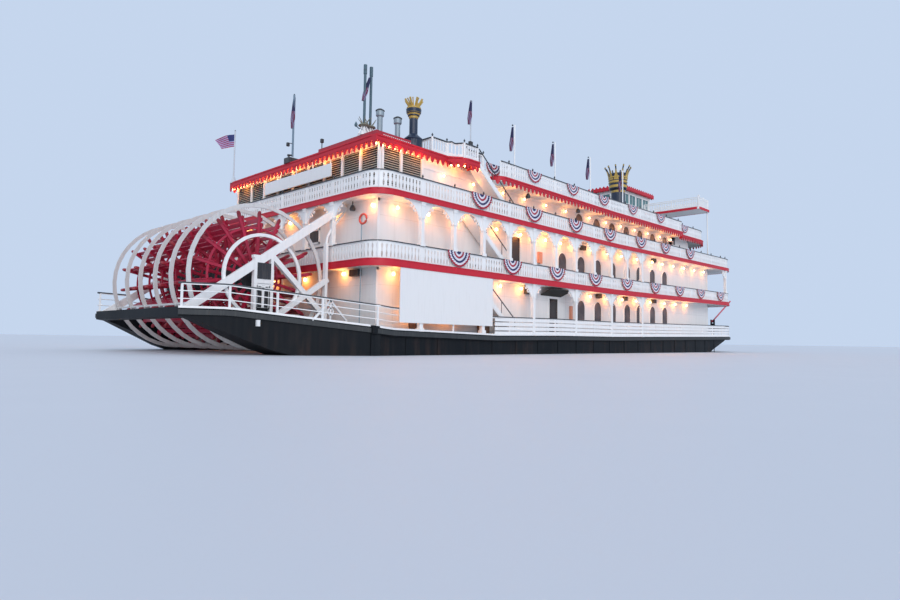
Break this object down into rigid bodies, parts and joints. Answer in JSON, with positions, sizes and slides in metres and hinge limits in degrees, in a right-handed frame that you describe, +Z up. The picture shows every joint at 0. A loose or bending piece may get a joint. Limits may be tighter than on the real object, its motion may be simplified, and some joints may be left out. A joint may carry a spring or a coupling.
{
  "type": "stern-wheel paddle steamer, 1:2 scale model",
  "caption": "Flat-bottomed stern-wheel riverboat with stacked decks, caged paddle wheel, pilothouse with wings, crowned funnels, rudders, doors and bow boom.",
  "frame": {"origin": "centre of the flat hull bottom, at the bottom centre of the bounding box", "axes": "+X forward to the bow, +Y to port, +Z up"},
  "size_m": [32.525, 9.44, 9.9484],
  "materials": {
    "hull_paint": "semi-gloss black paint",
    "white_paint": "satin white paint",
    "roof_red": "satin dark red paint",
    "wheel_red": "satin crimson paint",
    "steel_plate": "grey primer",
    "gold_paint": "gold paint with black bands",
    "door_wood": "varnished",
    "banner_white": "blank canvas",
    "boom_red": "satin red paint",
    "flag_cloth": "woven cloth"
  },
  "bodies": {
    "root": {"hull": "hull_paint", "boiler_deck": "white_paint", "texas_deck": "white_paint", "hurricane_deck": "white_paint", "aft_roof": "roof_red", "main_rail_starboard": "white_paint", "main_rail_port": "white_paint", "boiler_rail_starboard": "white_paint", "boiler_rail_port": "white_paint", "boiler_rail_aft": "white_paint", "boiler_rail_fore": "white_paint", "texas_rail": "white_paint", "hurricane_rail_starboard": "white_paint", "hurricane_rail_port": "white_paint", "hurricane_rail_aft": "white_paint", "hurricane_rail_fore": "white_paint", "main_wall_starboard": "white_paint", "main_wall_port": "white_paint", "main_wall_aft": "white_paint", "main_wall_fore": "white_paint", "boiler_wall_starboard": "white_paint", "boiler_wall_port": "white_paint", "boiler_wall_aft": "white_paint", "boiler_wall_fore": "white_paint", "texas_wall_starboard": "white_paint", "texas_wall_port": "white_paint", "texas_wall_aft": "white_paint", "texas_wall_fore": "white_paint", "main_stair_starboard": "white_paint", "main_stair_port": "white_paint", "boiler_stair_starboard": "white_paint", "boiler_stair_port": "white_paint", "texas_stair_starboard": "white_paint", "texas_stair_port": "white_paint", "truss_starboard": "white_paint", "truss_port": "white_paint", "wheel_cage": "white_paint", "engine": "steel_plate", "pilothouse": "white_paint", "pilothouse_roof": "roof_red", "bridge_wing_starboard": "white_paint", "bridge_wing_port": "white_paint", "funnel_starboard": "gold_paint", "funnel_port": "gold_paint", "funnel_aft": "gold_paint", "stern_banner": "banner_white", "side_banner_starboard": "banner_white", "side_banner_port": "banner_white", "flag_stern": "flag_cloth"},
    "wheel": {"paddle_wheel": "wheel_red"},
    "rudder_starboard": {"rudder_starboard": "steel_plate"},
    "rudder_port": {"rudder_port": "steel_plate"},
    "main_door_starboard": {"main_door_starboard": "door_wood"},
    "main_door_port": {"main_door_port": "door_wood"},
    "boiler_door_starboard": {"boiler_door_starboard": "door_wood"},
    "boiler_door_port": {"boiler_door_port": "door_wood"},
    "boom": {"bow_boom": "boom_red"}
  },
  "joints": [
    {"name": "wheel_spin", "type": "hinge", "parent": "root", "child": "wheel", "pos_m": [-14.0875, 0, 2.925], "axis": [0, 1, 0], "continuous": true},
    {"name": "rudder_starboard_turn", "type": "hinge", "parent": "root", "child": "rudder_starboard", "pos_m": [-12.6125, -1.3, 1.1], "axis": [0, 0, 1], "range_deg": [-35, 35]},
    {"name": "rudder_port_turn", "type": "hinge", "parent": "root", "child": "rudder_port", "pos_m": [-12.6125, 1.3, 1.1], "axis": [0, 0, 1], "range_deg": [-35, 35]},
    {"name": "main_door_starboard_swing", "type": "hinge", "parent": "root", "child": "main_door_starboard", "pos_m": [-3.4875, -4.1, 2.2], "axis": [0, 0, -1], "range_deg": [0, 110]},
    {"name": "main_door_port_swing", "type": "hinge", "parent": "root", "child": "main_door_port", "pos_m": [-3.4875, 4.1, 2.2], "axis": [0, 0, 1], "range_deg": [0, 110]},
    {"name": "boiler_door_starboard_swing", "type": "hinge", "parent": "root", "child": "boiler_door_starboard", "pos_m": [-5.7625, -4.1, 4], "axis": [0, 0, -1], "range_deg": [0, 110]},
    {"name": "boiler_door_port_swing", "type": "hinge", "parent": "root", "child": "boiler_door_port", "pos_m": [-5.7625, 4.1, 4], "axis": [0, 0, 1], "range_deg": [0, 110]},
    {"name": "boom_luff", "type": "hinge", "parent": "root", "child": "boom", "pos_m": [13.4125, -3.55, 2.6591], "axis": [0, -1, 0], "range_deg": [-28, 22]}
  ],
  "couplings": [
    {"joint": "rudder_port_turn", "follows": "rudder_starboard_turn", "ratio": 1}
  ]
}
